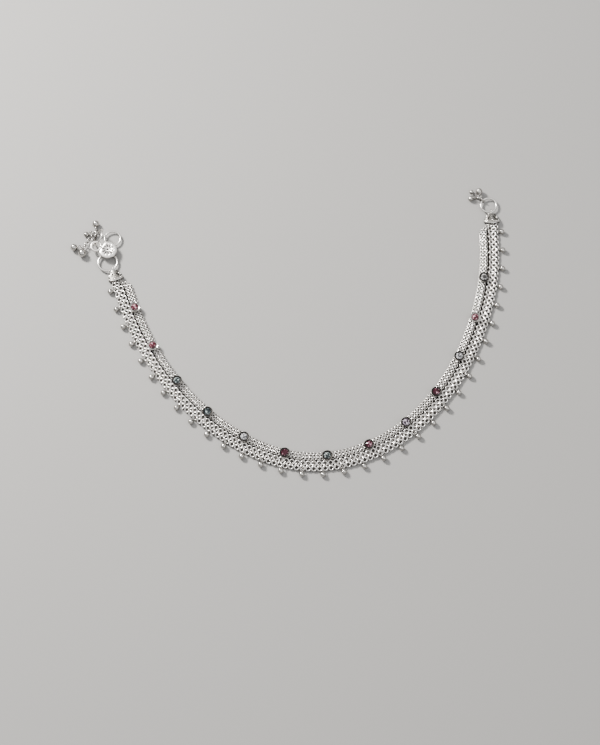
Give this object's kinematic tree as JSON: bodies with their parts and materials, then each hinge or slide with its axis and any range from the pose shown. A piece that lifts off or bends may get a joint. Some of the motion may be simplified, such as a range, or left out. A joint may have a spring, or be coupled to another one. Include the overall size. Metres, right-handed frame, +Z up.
{
  "type": "payal anklet",
  "caption": "Silver payal anklet opened flat in a U: stone-set woven inner strip, coarser outer net fringed with small balls, pierced end caps, rings, stamped clasp plate and bells.",
  "frame": {"origin": "under the middle of the bounding box, on the surface that the anklet lies on", "axes": "+X across the U from the clasp plate's end to the plain end, +Y from the front of the U towards its open ends, +Z up out of its face"},
  "size_m": [0.1606, 0.1138, 0.0059],
  "materials": {
    "woven_silver": "fine woven silver wire, bright on the crowns and dark in the gaps",
    "polished_silver": "polished silver with darkened recesses",
    "garnet": "faceted red stone",
    "smoky_green": "faceted dark blue-green stone",
    "clear_stone": "faceted clear to smoky stone"
  },
  "bodies": {
    "root": {"inner_strip": "woven_silver", "outer_net": "woven_silver", "stone_01": "garnet", "stone_02": "garnet", "stone_03": "smoky_green", "stone_04": "smoky_green", "stone_05": "clear_stone", "stone_06": "garnet", "stone_07": "smoky_green", "stone_08": "garnet", "stone_09": "smoky_green", "stone_10": "garnet", "stone_11": "clear_stone", "stone_12": "garnet", "stone_13": "clear_stone", "ball_01": "polished_silver", "ball_02": "polished_silver", "ball_03": "polished_silver", "ball_04": "polished_silver", "ball_05": "polished_silver", "ball_06": "polished_silver", "ball_07": "polished_silver", "ball_08": "polished_silver", "ball_09": "polished_silver", "ball_10": "polished_silver", "ball_11": "polished_silver", "ball_12": "polished_silver", "ball_13": "polished_silver", "ball_14": "polished_silver", "ball_15": "polished_silver", "ball_16": "polished_silver", "ball_17": "polished_silver", "ball_18": "polished_silver", "ball_19": "polished_silver", "ball_20": "polished_silver", "ball_21": "polished_silver", "ball_22": "polished_silver", "ball_23": "polished_silver", "ball_24": "polished_silver", "ball_25": "polished_silver", "ball_26": "polished_silver", "ball_27": "polished_silver", "ball_28": "polished_silver", "ball_29": "polished_silver", "ball_30": "polished_silver", "ball_31": "polished_silver", "ball_32": "polished_silver", "ball_33": "polished_silver", "end_cap_left": "polished_silver", "end_cap_right": "polished_silver", "link_ring_left": "polished_silver", "size_ring": "polished_silver", "clasp_plate": "polished_silver", "bell_ring": "polished_silver", "bells_left": "polished_silver", "link_ring_right": "polished_silver", "bells_right": "polished_silver"}
  },
  "joints": []
}
